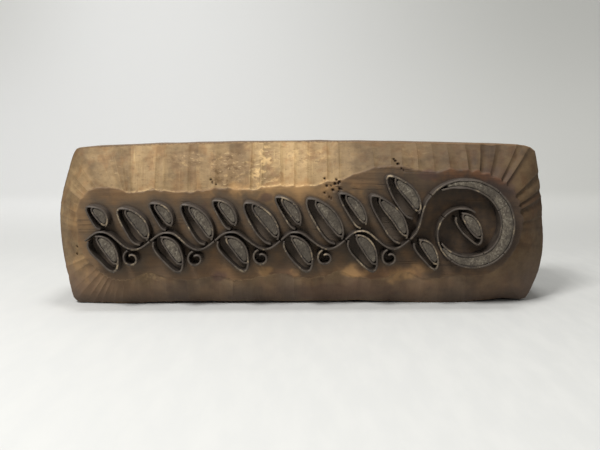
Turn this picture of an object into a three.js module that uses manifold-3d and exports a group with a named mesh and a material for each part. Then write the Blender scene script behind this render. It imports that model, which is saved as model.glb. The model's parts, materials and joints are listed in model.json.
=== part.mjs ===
// A hand block for stamping cloth. A slab of close-grained wood stands on its long side with its printing
// face towards -Y. The middle of the face is a flat ground, and a gouge has pared the rest away towards the
// edges. An ornament of thin copper strips is driven on edge into the ground: a running vine that ends in a
// scroll. The thick parts of the ornament are cells between two strips, packed with felt almost up to the
// printing edges.
//
// Millimetres. X runs along the block, Z is up, and the origin lies under the middle of the block on the
// plane that it stands on.

import * as THREE from "three";
import { mergeVertices } from "three/addons/utils/BufferGeometryUtils.js";
import Module from "manifold-3d";

const wasm = await Module();
wasm.setup();

// The wood
const BLOCK_LENGTH = 250;
const BLOCK_HEIGHT = 83;
const WOOD_DEPTH = 57; // from the ground of the printing face to the back
const TOP_CROWN = 2.8; // how far the long top side falls off towards its ends
const LEFT_BULGE_HEIGHT = 41; // where the left end reaches furthest
const RIGHT_BULGE_HEIGHT = 30;
const BULGE_EASE = 0.4; // how full the ends are near the bulge, as a share of the height above or below it
const LEFT_FOOT_INSET = 6.5;
const LEFT_TOP_INSET = 9.5;
const RIGHT_FOOT_INSET = 8;
const RIGHT_TOP_INSET = 6;
const CORNER_CUT = 2.5; // how far each corner of the outline is rounded off
const WORN_CORNER_CUT = 8.5; // the same for the right top corner, along the top
const BACK_CHAMFER = 2.5;

// The pared edge round the ground
const EDGE_DROP = 12; // how far the outer edge of the paring lies behind the ground
const FOOT_DROP = 7.5; // the same at the foot, where less was pared away
const STOP_DROP = 1.2; // the step where each gouge cut begins
const STOP_WIDTH = 0.7;
const PARING_BELLY = 1.2; // how far the paring bulges midway
const CUT_WIDTH = 8;
const END_CUT_ANGLE = 10; // degrees between the cuts that fan out round the two ends
const CUT_VARIATION = 0.5; // how unequal the cuts are, as a share of their width
const CUT_DEPTH = 0.65; // how deep the hollow of a cut lies under the ridges beside it
const CUT_FLANK = 0.3; // share of its width over which a cut falls from each ridge to its hollow
const SCALLOP = 1.1; // how far the middle of a cut bites into the ground's edge
const GROUND_MARGIN = 5.5; // bare ground left round the ornament
const MARGIN_EASE = 30; // radius of the curves in which the ground's edge passes from tip to tip
const PARING_LEAST = 7; // least width of the pared edge
const CORE_INSET = 42; // from each end of the block to where the cuts begin to fan out
const CORE_HEIGHT = 38;

// The strips
const STRIP_THICKNESS = 0.9;
const STRIP_PROUD = 9; // from the ground to the printing edge
const STRIP_ROOT = 5; // driven into the wood
const CLEARANCE = 0.3; // between any two pieces
const SEAM = 0.4; // between two lengths of strip that meet end to end
const FELT_RECESS = 0.4; // the felt's face behind the printing edges
const FELT_LEAST = 0.3; // a cell narrower than this has no room for felt
const CELL_FULLNESS = 0.7; // power of the sine that the width of a cell follows

// The vine
const VINE_HEIGHT = 35; // middle of the vine above the block's foot
const VINE_SWING = 4.5;
const VINE_PITCH = 16; // from one bend of the vine to the next
const VINE_INSET = 18; // from the left end of the block to the vine's tip
const BUD_LEAD = 1; // along the vine, from a crest to the foot of its bud
const BUD_LIFT = 0.6; // more room under the foot of a bud than under that of a leaf
const CURL_RADIUS = 4.2;
const CURL_TURNS = 1.05;
const CURL_TIGHTENING = 0.62; // share of its radius that a curl has lost at its end
const CURL_LAG = 3; // from a trough of the vine back to the foot of its curl
const CURL_FOOT_ANGLE = 110; // degrees from +X to the foot, seen from the middle of the curl

// The leaves
const LEAF_SLANT = 55; // degrees from the vine
const LEAF_LENGTH = 20;
const LEAF_WIDTH = 13;
const BUD_LENGTH = 13;
const BUD_WIDTH = 9.5;
const LEAF_GROWTH = 0.9; // added to each rising leaf and bud for each bend before it
const LEAF_TAPER = 0.35; // how much of its width a leaf loses from foot to tip
const LEAF_BOW = 1.5;
const LEAF_MOUTH = 18; // degrees of the turn round a leaf on either side of its foot that stay open
const LEAF_SETBACK = 5; // from a bend to the foot of the leaf that fills it
const CELL_WIDTH = 5.8; // of the felt-filled side of a leaf, between the middles of its two strips
const CELL_SHARE_MOST = 0.52; // of the width of a narrow leaf

// The scroll
const SCROLL_RADIUS = 25;
const SCROLL_INSET = 43; // from the right end of the block to the middle of the scroll
const SCROLL_HEIGHT = 40;
const SCROLL_EYE = 9; // radius at which the scroll stops
const SCROLL_START = 138; // degrees from +X to where the vine runs in
const SCROLL_TURN = 430; // degrees, clockwise
const SCROLL_CELL_WIDTH = 6.5;
const SCROLL_CELL_START = 12; // degrees along the scroll
const SCROLL_CELL_END = 290;
const EYE_LEAF_LENGTH = 18;
const EYE_LEAF_WIDTH = 11;
const STEM_EASE = 0.4; // how far the stem runs straight on at its ends, as a share of the way between them
const STEM_GAP = 2.6; // from the middle of the stem to the foot of a leaf
const STEM_LEAF_PLACE = 0.5; // share of the way along the stem
const STEM_LEAF_ROOM = 12; // least way from the middle of the vine's last leaf to that of the stem's leaf
const STEM_LEAF_LENGTH = 24;
const STEM_BUD_PLACE = 0.05;
const STEM_BUD_LENGTH = 17;

// How many straight steps stand for each curve
const VINE_STEPS = 10; // a length of strip
const LEAF_STEPS = 15;
const CELL_STEPS = 9;
const CURL_STEPS = 13; // a turn
const SCROLL_STEPS = 10; // a length of strip
const STEM_STEPS = 8;
const END_STEPS = 6; // above the bulge, and as many below it
const TOP_STEPS = 16;
const CORNER_STEPS = 4;

const PRINT_Y = -(WOOD_DEPTH + STRIP_PROUD) / 2;
const GROUND_Y = PRINT_Y + STRIP_PROUD;
const BACK_Y = GROUND_Y + WOOD_DEPTH;
const HALF_LENGTH = BLOCK_LENGTH / 2;
const FULL_TURN = 2 * Math.PI;

const wood = new THREE.MeshStandardMaterial({ color: 0x8c6b48, roughness: 0.75, metalness: 0 });
const copper = new THREE.MeshStandardMaterial({ color: 0x5b4a3f, roughness: 0.5, metalness: 0.85 });
const felt = new THREE.MeshStandardMaterial({ color: 0x7d766e, roughness: 1, metalness: 0 });

const point = (x, z) => new THREE.Vector2(x, z);
const radians = THREE.MathUtils.degToRad;
const mix = THREE.MathUtils.lerp;
const samples = (steps, at) => Array.from({ length: steps + 1 }, (_, i) => at(i / steps));
const heading = (angle) => point(Math.cos(angle), Math.sin(angle));

// The same number between 0 and 1 for the same seed, so that the cuts look hand-made but never change.
function chance(seed) {
  const wave = Math.sin(seed * 12.9898) * 43758.5453;
  return wave - Math.floor(wave);
}

// Paths in the plane of the printing face

// A path moved to its left by a distance, or to its right by a negative one, with mitred corners.
function offsetPath(path, distance) {
  return path.map((here, i) => {
    const before = path[i - 1] ?? here.clone().multiplyScalar(2).sub(path[i + 1]);
    const after = path[i + 1] ?? here.clone().multiplyScalar(2).sub(path[i - 1]);
    const into = here.clone().sub(before).normalize();
    const outOf = after.clone().sub(here).normalize();
    const normal = point(-(into.y + outOf.y), into.x + outOf.x).normalize();
    const mitre = distance / normal.dot(point(-into.y, into.x));
    return here.clone().addScaledVector(normal, mitre);
  });
}

// A path made longer at both ends by the same amount.
function lengthened(path, by) {
  const [first, second] = path;
  const [beforeLast, last] = path.slice(-2);
  return [
    first.clone().addScaledVector(first.clone().sub(second).normalize(), by),
    ...path.slice(1, -1),
    last.clone().addScaledVector(last.clone().sub(beforeLast).normalize(), by),
  ];
}

function bandOutline(path, thickness) {
  return [...offsetPath(path, -thickness / 2), ...offsetPath(path, thickness / 2).reverse()];
}

// A prism over an outline of the printing face, from the plane backY towards the viewer.
function prism(outline, depth, backY) {
  const geometry = new THREE.ExtrudeGeometry(new THREE.Shape(outline), { depth, bevelEnabled: false });
  return geometry.rotateX(Math.PI / 2).translate(0, backY, 0);
}

// Solids

function solidOf(geometry) {
  const bare = geometry.clone();
  bare.deleteAttribute("normal");
  bare.deleteAttribute("uv");
  const merged = mergeVertices(bare);
  const vertProperties = merged.attributes.position.array;
  const triVerts = new Uint32Array(merged.index.array);
  return new wasm.Manifold(new wasm.Mesh({ numProp: 3, vertProperties, triVerts }));
}

const group = new THREE.Group();

function addPiece(name, solid, material) {
  const { vertProperties, triVerts } = solid.getMesh();
  const geometry = new THREE.BufferGeometry();
  geometry.setAttribute("position", new THREE.BufferAttribute(vertProperties, 3));
  geometry.setIndex(new THREE.BufferAttribute(triVerts, 1));
  geometry.computeVertexNormals();
  const mesh = new THREE.Mesh(geometry, material);
  mesh.name = name;
  group.add(mesh);
}

// Strips and felt

const kerfs = [];
const ornamentPoints = [];

// A strip on edge along a path, with any further lengths that are soldered to it.
function addStrip(name, ...paths) {
  const depth = STRIP_PROUD + STRIP_ROOT;
  const solids = paths.map((path) => {
    const outline = bandOutline(path, STRIP_THICKNESS);
    ornamentPoints.push(...outline);
    const wide = bandOutline(lengthened(path, CLEARANCE), STRIP_THICKNESS + 2 * CLEARANCE);
    kerfs.push(solidOf(prism(wide, depth + CLEARANCE, GROUND_Y + STRIP_ROOT + CLEARANCE)));
    return solidOf(prism(outline, depth, GROUND_Y + STRIP_ROOT));
  });
  addPiece(name, solids.reduce((joined, solid) => joined.add(solid)), copper);
}

// Felt between two strips that run the same way, one to the right and one to the left, and clear of both.
function addFelt(name, rightPath, leftPath) {
  const gap = STRIP_THICKNESS / 2 + CLEARANCE;
  const right = offsetPath(rightPath, gap);
  const left = offsetPath(leftPath, -gap);
  const least = 2 * gap + FELT_LEAST;
  const filled = [...right.keys()].filter((i) => rightPath[i].distanceTo(leftPath[i]) > least);
  const outline = [...filled.map((i) => right[i]), ...filled.reverse().map((i) => left[i])];
  addPiece(name, solidOf(prism(outline, STRIP_PROUD - FELT_RECESS - CLEARANCE, GROUND_Y - CLEARANCE)), felt);
}

// A leaf: one strip bent round its tip, a second one soldered inside its edge, and felt between the two.
// It springs from foot and points along angle. side is 1 where the felt lies to the left of that way, and
// -1 where it lies to the right.
function addLeaf(name, foot, angle, side, length = LEAF_LENGTH, width = LEAF_WIDTH) {
  const way = heading(angle);
  const across = point(-way.y, way.x).multiplyScalar(side);
  const edge = (share, out) => {
    const half = (width / 2) * Math.sqrt(4 * share * (1 - share)) * (1 - LEAF_TAPER * share);
    const bow = LEAF_BOW * Math.sin(Math.PI * share);
    return foot.clone().addScaledVector(way, length * share).addScaledVector(across, half * out + bow);
  };
  const mouth = radians(LEAF_MOUTH);
  const around = (turn) => edge((1 - Math.cos(turn)) / 2, turn < Math.PI ? 1 : -1);
  const outline = samples(LEAF_STEPS, (share) => around(mix(mouth, FULL_TURN - mouth, share)));
  const outer = samples(CELL_STEPS, (share) => around(mix(1.5 * mouth, Math.PI - 2 * mouth, share)));
  const cellWidth = Math.min(CELL_WIDTH, CELL_SHARE_MOST * width);
  const inner = outer.map((place, i) => {
    const swell = Math.sin((Math.PI * i) / CELL_STEPS) ** CELL_FULLNESS;
    return place.clone().addScaledVector(across, -cellWidth * swell);
  });
  addStrip(name + "_strip", outline, inner);
  if (side > 0) addFelt(name + "_felt", inner, outer);
  else addFelt(name + "_felt", outer, inner);
}

// A strip curled up like a watch spring, counter-clockwise from its foot.
function addCurl(name, foot) {
  const angle = radians(CURL_FOOT_ANGLE);
  const centre = foot.clone().addScaledVector(heading(angle), -CURL_RADIUS);
  const path = samples(Math.round(CURL_STEPS * CURL_TURNS), (share) => {
    const reach = CURL_RADIUS * (1 - CURL_TIGHTENING * share);
    return centre.clone().addScaledVector(heading(angle + FULL_TURN * CURL_TURNS * share), reach);
  });
  addStrip(name, path);
}

// The vine swings once up and once down over two pitches, and stops short of the scroll.
const scrollMiddle = point(HALF_LENGTH - SCROLL_INSET, SCROLL_HEIGHT);
const vineStart = VINE_INSET - HALF_LENGTH;
const vinePairs = Math.floor((scrollMiddle.x - SCROLL_RADIUS - vineStart) / (2 * VINE_PITCH));
const bends = 2 * vinePairs;
const vineEnd = vineStart + VINE_PITCH * bends;

function vineAt(x) {
  return point(x, VINE_HEIGHT + VINE_SWING * Math.sin((Math.PI * (x - vineStart)) / VINE_PITCH));
}

// The foot of the leaf that rises from a trough of the vine.
function troughFoot(bend) {
  const x = vineStart + VINE_PITCH * (bend + 0.5);
  return vineAt(x + LEAF_SETBACK).add(point(0, STRIP_THICKNESS + CLEARANCE));
}

function addVine() {
  for (let pair = 0; pair < vinePairs; pair++) {
    const from = vineStart + 2 * VINE_PITCH * pair + SEAM / 2;
    const to = from + 2 * VINE_PITCH - SEAM;
    addStrip(`vine_strip_${pair + 1}`, samples(VINE_STEPS, (share) => vineAt(mix(from, to, share))));
  }
}

// Each bend of the vine holds a leaf on its hollow side. A crest bears a bud on its other side, and a trough
// has a curl under it.
function addBends() {
  const clear = STRIP_THICKNESS + CLEARANCE;
  const falling = radians(-LEAF_SLANT);
  const rising = radians(180 - LEAF_SLANT);
  for (let i = 0; i < bends; i++) {
    const x = vineStart + VINE_PITCH * (i + 0.5);
    const growth = LEAF_GROWTH * i;
    if (i % 2 === 0) {
      const leafFoot = vineAt(x - LEAF_SETBACK).sub(point(0, clear));
      addLeaf(`leaf_${i + 1}`, leafFoot, falling, 1);
      const budFoot = vineAt(x + BUD_LEAD).add(point(0, clear + BUD_LIFT));
      addLeaf(`bud_${i / 2 + 1}`, budFoot, rising, -1, BUD_LENGTH + growth, BUD_WIDTH);
    } else {
      addLeaf(`leaf_${i + 1}`, troughFoot(i), rising, -1, LEAF_LENGTH + growth);
      addCurl(`curl_${(i + 1) / 2}`, vineAt(x - CURL_LAG).sub(point(0, clear)));
    }
  }
}

// The scroll's radius, and a place on it, by the degrees that it has turned since the vine ran in.
function scrollRadiusAt(turned) {
  return mix(SCROLL_RADIUS, SCROLL_EYE, (turned / SCROLL_TURN) ** 1.5);
}

function scrollAt(turned, inward = 0) {
  const way = heading(radians(SCROLL_START - turned));
  return scrollMiddle.clone().addScaledVector(way, scrollRadiusAt(turned) - inward);
}

function scrollLiningAt(turned) {
  const share = (turned - SCROLL_CELL_START) / (SCROLL_CELL_END - SCROLL_CELL_START);
  const least = STRIP_THICKNESS + CLEARANCE;
  return scrollAt(turned, mix(least, SCROLL_CELL_WIDTH, Math.sin(Math.PI * share) ** CELL_FULLNESS));
}

// The scroll's strips come in lengths that each turn through little more than a right angle.
function addScroll() {
  const halfSeamAt = (turned) => THREE.MathUtils.radToDeg(SEAM / 2 / scrollRadiusAt(turned));
  const cut = (from, to, parts) => [...Array(parts).keys()].map((i) => {
    const [start, end] = [mix(from, to, i / parts), mix(from, to, (i + 1) / parts)];
    return samples(SCROLL_STEPS, (share) => mix(start + halfSeamAt(start), end - halfSeamAt(end), share));
  });
  cut(0, SCROLL_TURN, 5).forEach((turns, i) => {
    addStrip(`scroll_strip_${i + 1}`, turns.map((turned) => scrollAt(turned)));
  });
  cut(SCROLL_CELL_START, SCROLL_CELL_END, 3).forEach((turns, i) => {
    const inner = turns.map(scrollLiningAt);
    addStrip(`scroll_lining_${i + 1}`, inner);
    addFelt(`scroll_felt_${i + 1}`, inner, turns.map((turned) => scrollAt(turned)));
  });
  const falling = radians(-LEAF_SLANT);
  const foot = scrollMiddle.clone().addScaledVector(heading(falling), -EYE_LEAF_LENGTH / 2);
  addLeaf("eye_leaf", foot, falling, 1, EYE_LEAF_LENGTH, EYE_LEAF_WIDTH);
}

// The stem from the vine's end up into the scroll, with a leaf on each side. The upper leaf moves on along the
// stem where it would come too near the vine's last leaf.
function addStem() {
  const slope = (Math.PI * VINE_SWING) / VINE_PITCH;
  const start = vineAt(vineEnd + SEAM / 2);
  const runIn = heading(radians(SCROLL_START - 90));
  const end = scrollAt(0).addScaledVector(runIn, -SEAM / 2);
  const reach = start.distanceTo(end) * STEM_EASE;
  const stem = new THREE.CubicBezierCurve(
    start,
    start.clone().addScaledVector(point(1, slope).normalize(), reach),
    end.clone().addScaledVector(runIn, -reach),
    end,
  );
  addStrip("scroll_stem", samples(STEM_STEPS, (share) => stem.getPoint(share)));
  const besideStem = (share, toTheLeft) => {
    const along = stem.getTangent(share);
    return stem.getPoint(share).add(point(-along.y, along.x).multiplyScalar(toTheLeft));
  };
  const rising = radians(180 - LEAF_SLANT);
  const roomAt = (share) => heading(rising).cross(troughFoot(bends - 1).sub(besideStem(share, STEM_GAP)));
  let leafPlace = STEM_LEAF_PLACE;
  while (leafPlace < 1 && roomAt(leafPlace) < STEM_LEAF_ROOM) leafPlace += 0.01;
  addLeaf("stem_leaf", besideStem(leafPlace, STEM_GAP), rising, -1, STEM_LEAF_LENGTH);
  const budFoot = besideStem(STEM_BUD_PLACE, -STEM_GAP);
  addLeaf("stem_bud", budFoot, radians(-LEAF_SLANT), 1, STEM_BUD_LENGTH, BUD_WIDTH);
}

addVine();
addBends();
addStem();
addScroll();

// The block

const coreEnd = HALF_LENGTH - CORE_INSET;
const topAt = (x) => BLOCK_HEIGHT - TOP_CROWN * (x / HALF_LENGTH) ** 2;

// One end of the block, from its foot up over the bulge to its top corner.
function endSide(side, footInset, bulgeHeight, topInset) {
  const foot = point(side * (HALF_LENGTH - footInset), 0);
  const bulge = point(side * HALF_LENGTH, bulgeHeight);
  const topX = side * (HALF_LENGTH - topInset);
  const top = point(topX, topAt(topX));
  const upright = (towards) => point(bulge.x, mix(bulgeHeight, towards.y, BULGE_EASE));
  const lower = new THREE.QuadraticBezierCurve(foot, upright(foot), bulge);
  const upper = new THREE.QuadraticBezierCurve(bulge, upright(top), top);
  return [...lower.getPoints(END_STEPS), ...upper.getPoints(END_STEPS).slice(1)];
}

// The block's outline in the plane of the printing face, counter-clockwise, as sides that meet in corners: the
// foot, the right end, the top and the left end.
function blockSides() {
  const right = endSide(1, RIGHT_FOOT_INSET, RIGHT_BULGE_HEIGHT, RIGHT_TOP_INSET);
  const left = endSide(-1, LEFT_FOOT_INSET, LEFT_BULGE_HEIGHT, LEFT_TOP_INSET).reverse();
  const top = samples(TOP_STEPS, (share) => {
    const x = mix(right.at(-1).x, left[0].x, share);
    return point(x, topAt(x));
  });
  return [[left.at(-1), right[0]], right, top, left];
}

// The sides joined into one outline, with a short curve in place of each corner. cuts says how much each side
// loses at its start.
function roundedOff(sides, cuts) {
  return sides.flatMap((side, i) => {
    const corner = side[0];
    const before = sides.at(i - 1).at(-2);
    const from = corner.clone().addScaledVector(before.clone().sub(corner).normalize(), CORNER_CUT);
    const to = corner.clone().addScaledVector(side[1].clone().sub(corner).normalize(), cuts[i]);
    const curve = new THREE.QuadraticBezierCurve(from, corner, to);
    return [...curve.getPoints(CORNER_STEPS), ...side.slice(1, -1)];
  });
}

// How far a ray runs before it leaves an outline.
function exitDistance({ base, way }, outline) {
  return Math.min(...outline.map((from, i) => {
    const side = outline[(i + 1) % outline.length].clone().sub(from);
    const lead = from.clone().sub(base);
    const distance = lead.cross(side) / way.cross(side);
    const share = lead.cross(way) / way.cross(side);
    return distance > 0 && share >= 0 && share <= 1 ? distance : Infinity;
  }));
}

// How far the ground reaches along a ray, so that every strip near it keeps its margin of bare ground.
function groundReach({ base, way }) {
  return Math.max(...ornamentPoints.map((place) => {
    const lead = place.clone().sub(base);
    return lead.dot(way) + GROUND_MARGIN - lead.cross(way) ** 2 / (2 * MARGIN_EASE);
  }));
}

// The gouge cuts run outwards from the core: side by side along the block, and fanned out round its ends.
function paringRays() {
  const straightCuts = Math.round((2 * coreEnd) / CUT_WIDTH);
  const endCuts = Math.round(180 / END_CUT_ANGLE);
  const along = (fromX, toX, angle) => (share) => ({
    base: point(mix(fromX, toX, share), CORE_HEIGHT),
    way: heading(radians(angle)),
  });
  const round = (x, fromAngle) => (share) => ({
    base: point(x, CORE_HEIGHT),
    way: heading(radians(fromAngle + 180 * share)),
  });
  const stretches = [
    { cuts: straightCuts, rayAt: along(-coreEnd, coreEnd, -90) },
    { cuts: endCuts, rayAt: round(coreEnd, -90) },
    { cuts: straightCuts, rayAt: along(coreEnd, -coreEnd, 90) },
    { cuts: endCuts, rayAt: round(-coreEnd, 90) },
  ];
  return stretches.flatMap(({ cuts, rayAt }, stretch) => {
    const ridges = samples(cuts, (share) => {
      const inner = share > 0 && share < 1;
      const shift = inner ? CUT_VARIATION * (chance(stretch + share) - 0.5) : 0;
      return share + shift / cuts;
    });
    return ridges.slice(0, -1).flatMap((ridge, i) => [
      { ...rayAt(ridge), hollow: 0 },
      { ...rayAt(mix(ridge, ridges[i + 1], CUT_FLANK)), hollow: 1 },
      { ...rayAt(mix(ridge, ridges[i + 1], 1 - CUT_FLANK)), hollow: 1 },
    ]);
  });
}

// The rings of the block's skin along each ray, from the edge of the ground to the edge of the back.
function skinAlong(ray, outline) {
  const edge = exitDistance(ray, outline);
  const reach = Math.min(groundReach(ray), edge - PARING_LEAST) - SCALLOP * ray.hollow;
  const place = (distance, y) => {
    const flat = ray.base.clone().addScaledVector(ray.way, distance);
    return new THREE.Vector3(flat.x, y, flat.y);
  };
  const depth = CUT_DEPTH * ray.hollow;
  const edgeDrop = mix(EDGE_DROP, FOOT_DROP, Math.max(0, -ray.way.y) ** 4);
  const midDrop = (STOP_DROP + edgeDrop) / 2 - PARING_BELLY;
  return [
    place(reach, GROUND_Y),
    place(reach + STOP_WIDTH, GROUND_Y + STOP_DROP + depth),
    place((reach + edge) / 2, GROUND_Y + midDrop + depth),
    place(edge, GROUND_Y + edgeDrop + depth),
    place(edge, BACK_Y - BACK_CHAMFER),
    place(edge - BACK_CHAMFER, BACK_Y),
  ];
}

function blockGeometry() {
  const blockOutline = roundedOff(blockSides(), [CORNER_CUT, CORNER_CUT, WORN_CORNER_CUT, CORNER_CUT]);
  const columns = paringRays().map((ray) => skinAlong(ray, blockOutline));
  const rings = columns[0].length;
  const at = (column, ring) => (column % columns.length) * rings + ring;
  const faces = [];
  for (let column = 0; column < columns.length; column++) {
    for (let ring = 0; ring + 1 < rings; ring++) {
      const [a, b] = [at(column, ring), at(column + 1, ring)];
      const [c, d] = [at(column + 1, ring + 1), at(column, ring + 1)];
      faces.push(a, d, c, a, c, b);
    }
  }
  const cap = (ring) => {
    const outline = columns.map((column) => point(column[ring].x, column[ring].z));
    return THREE.ShapeUtils.triangulateShape(outline, []);
  };
  const back = rings - 1;
  for (const [a, b, c] of cap(0)) faces.push(at(a, 0), at(b, 0), at(c, 0));
  for (const [a, b, c] of cap(back)) faces.push(at(a, back), at(c, back), at(b, back));
  const positions = columns.flat().flatMap((place) => place.toArray());
  const geometry = new THREE.BufferGeometry();
  geometry.setAttribute("position", new THREE.Float32BufferAttribute(positions, 3));
  geometry.setIndex(faces);
  return geometry;
}

function addBlock() {
  const whole = solidOf(blockGeometry());
  addPiece("wood_block", kerfs.reduce((rest, kerf) => rest.subtract(kerf), whole), wood);
}

addBlock();

export default group;
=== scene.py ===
"""The looks of a hand printing block: carved wood, copper strips on edge, and felt in the thick strokes.

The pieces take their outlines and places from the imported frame. Lengths are millimetres until a mesh is made.
"""

import json
import math
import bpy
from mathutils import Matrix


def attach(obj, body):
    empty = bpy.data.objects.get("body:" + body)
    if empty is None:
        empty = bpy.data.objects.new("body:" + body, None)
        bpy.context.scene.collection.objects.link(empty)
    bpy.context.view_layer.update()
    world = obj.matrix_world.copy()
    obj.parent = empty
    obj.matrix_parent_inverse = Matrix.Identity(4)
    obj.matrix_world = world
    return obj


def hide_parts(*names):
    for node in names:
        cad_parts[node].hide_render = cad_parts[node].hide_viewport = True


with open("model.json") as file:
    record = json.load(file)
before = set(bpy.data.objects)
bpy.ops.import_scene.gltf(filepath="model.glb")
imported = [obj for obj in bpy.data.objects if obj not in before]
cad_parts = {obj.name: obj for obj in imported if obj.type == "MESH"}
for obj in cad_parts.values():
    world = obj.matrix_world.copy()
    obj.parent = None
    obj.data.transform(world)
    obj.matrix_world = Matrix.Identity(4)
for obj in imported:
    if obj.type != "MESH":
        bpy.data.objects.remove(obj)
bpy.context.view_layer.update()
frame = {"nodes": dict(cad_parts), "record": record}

from types import SimpleNamespace

import bpy
import numpy as np
from mathutils import Euler, Vector, geometry, kdtree

MM = 0.001

# Sizes of the solid that the finer surface repeats
CORE_INSET = 42.0  # from each end of the block to where the cuts begin to fan out
CORE_HEIGHT = 38.0
STOP_DROP = 1.2  # the step where each gouge cut begins
STOP_WIDTH = 0.7
EDGE_DROP = 12.0
FOOT_DROP = 7.5
PARING_BELLY = 1.2
BACK_CHAMFER = 2.5
CUT_DEPTH = 0.65
SCALLOP = 1.1

# How finely the block's skin is divided
STRAIGHT_COLUMNS = 332
END_COLUMNS = 110
GROUND_ROWS = 38
PARING_ROWS = 34
SIDE_ROWS = 14
BACK_ROWS = 8

# Woodworm holes: where a cluster lies (x, z), how far it spreads, and how many holes it has
WORM_CLUSTERS = [
    ((17, 60), 6.0, 17),
    ((-115, 30), 3.5, 3),
    ((-45, 62), 6.0, 3),
    ((47, 72), 4.0, 5),
]
WORM_RADIUS = (0.4, 0.65)  # the least and the greatest
WORM_DEPTH = 1.6

# A place round the block is a number from 0 to 4: along its foot, round its right end, back along its top,
# and round its left end
FOOT, RIGHT_END, TOP, LEFT_END = range(4)
TURN = 4

# How the paring changes by place: how deep its cuts show, and how pale it is. The paleness is partly the pared
# wood's own and partly painted light and shade: paler along the upward-facing top, darker along the foot and
# round the right end.
CUT_BOLDNESS = {
    0: 0.35, 0.9: 0.35, 1.4: 0.3, 1.52: 0.5, 1.6: 1.4, 1.9: 1.6, 2.02: 0.9, 2.1: 0.5, 2.35: 0.6, 2.5: 0.9,
    2.75: 0.8, 2.95: 0.5, 3.2: 0.35, 3.6: 0.4, 3.75: 0.7, 3.9: 0.5, 3.97: 0.35,
}
PARING_TONE_AND_LIGHT = {
    0: 0.2, 0.3: 0.4, 0.9: 0.3, 1.2: 0.15, 1.5: -0.4, 1.9: -0.4, 2.02: -0.28, 2.14: 0.12, 2.28: 0.12,
    2.42: 0.6, 2.58: 0.85, 2.7: 0.4, 2.85: 0.42, 3.0: 0.6, 3.15: 0.35, 3.5: 0.2, 3.9: 0.45,
}

# How far use has worn back the front edge of the block, by place. Below 0 it is fuller than the solid's
EDGE_WEAR = {
    0: 0.4, 0.05: 1.1, 0.7: 1.2, 0.8: 0.7, 0.9: -0.2, 0.98: 0.1, 1.06: 0.9, 1.12: 1.3, 1.17: 1.8, 1.24: 1.0,
    1.33: 0, 3.7: 0, 3.85: 0.4,
}

# How far dye has spread from a strip, and how much further at the right end, on the ground and the paring
DYE_REACH = 5.5
DYE_SPREAD_ON_GROUND = 4.5
DYE_SPREAD_ON_PARING = 2.0

# Stains: where each lies (x, z), its reach along and up, and how dark it is
STAINS = [
    ((-54, 49), (6, 5), 0.8),
    ((-19, 55), (4, 3), 0.7),
    ((-42, 16), (5, 3), 0.6),
    ((62, 66), (6, 3), 0.6),
    ((98, 62), (10, 9), 0.35),
    ((20, 8), (34, 6), 0.3),
]

# Ground that the dye has turned a warmer brown: where each patch lies (x, z), its reach along and up, and how
# warm it is
WARM = [
    ((92, 70), (26, 9), 1.0),
    ((40, 14), (22, 6), 0.7),
    ((-10, 14), (16, 5), 0.5),
]

# Ground that has stayed pale, or has been rubbed pale again, in the same form
PALE = [
    ((-10, 57), (34, 7), 0.7),
    ((27, 19), (8, 4), 0.7),
    ((49, 16), (9, 4), 0.6),
    ((62, 20), (6, 4), 0.6),
    ((-19, 19), (5, 3), 0.7),
    ((-4, 18), (3, 3), 0.5),
    ((-112, 22), (5, 9), 0.3),
    ((-108, 46), (6, 24), 0.25),
]

# Where the gouge bruised and tore the grain, in the same form
BRUISES = [
    ((-36, 69), (11, 13), 1.0),
    ((-61, 74), (11, 5), 0.8),
    ((-92, 70), (7, 6), 0.3),
    ((60, 77), (8, 3), 0.3),
]
RAGS = [
    ((-19, 69), (9, 14), 1.0),
    ((3, 75), (14, 5), 0.6),
    ((-36, 57), (16, 4), 0.7),
    ((-75, 16), (12, 4), 0.3),
]

# The pith of the tree that the block was sawn from, behind and below it, and the width of its growth rings
PITH_Y = 75.0
PITH_Z = -45.0
RING_WIDTH = 2.7

# The camera, fitted to the outline in the photograph
CAMERA_PLACE = (-1.6, -438.9, 90.3)
CAMERA_TILT = -6.7  # degrees
CAMERA_ROLL = 0.26
CAMERA_TURN = -0.1
CAMERA_LENS = 50.0


def srgb(red, green, blue):
    """A colour as a screen shows it, from 0 to 255, as the linear colour that a shader takes."""
    channels = [c / 255 for c in (red, green, blue)]
    linear = [c / 12.92 if c <= 0.04045 else ((c + 0.055) / 1.055) ** 2.4 for c in channels]
    return (*linear, 1.0)


def mix(low, high, share):
    """The value a share of the way from low to high."""
    return low + (high - low) * share


def smooth(low, high, value):
    """0 below low, 1 above high, and an even curve between them."""
    share = np.clip((value - low) / (high - low), 0, 1)
    return share * share * (3 - 2 * share)


def bumps(place, size, seed):
    """Smooth noise from -1 to 1 over points, in bumps of about a size. A seed gives the same on every run."""
    cell = np.asarray(place, float) / size + seed * 7.31
    low = np.floor(cell).astype(np.int64)
    part = cell - low
    part = part * part * (3 - 2 * part)
    total = np.zeros(len(cell))
    for corner in np.ndindex(2, 2, 2):
        at = low + np.array(corner)
        mixed = at[:, 0] * 73856093 ^ at[:, 1] * 19349663 ^ at[:, 2] * 83492791 ^ (seed * 97 + 11)
        mixed = (mixed ^ (mixed >> 13)) * 1274126177
        value = ((mixed ^ (mixed >> 16)) & 0xFFFF) / 32767.5 - 1
        total += value * np.prod(np.where(corner, part, 1 - part), axis=1)
    return total


def layered(place, size, seed, layers=3):
    """Smooth noise with finer and fainter noise on top."""
    return sum(bumps(place, size / 2**i, seed + i) / 2**i for i in range(layers))


def read_points(mesh, key="co"):
    """The points of a mesh, or their normals, as rows of x, y and z."""
    flat = np.empty(len(mesh.vertices) * 3)
    mesh.vertices.foreach_get(key, flat)
    return flat.reshape(-1, 3)


def node_points(name):
    """The corners of a solid, in millimetres."""
    return read_points(frame["nodes"][name].data) / MM


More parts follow.
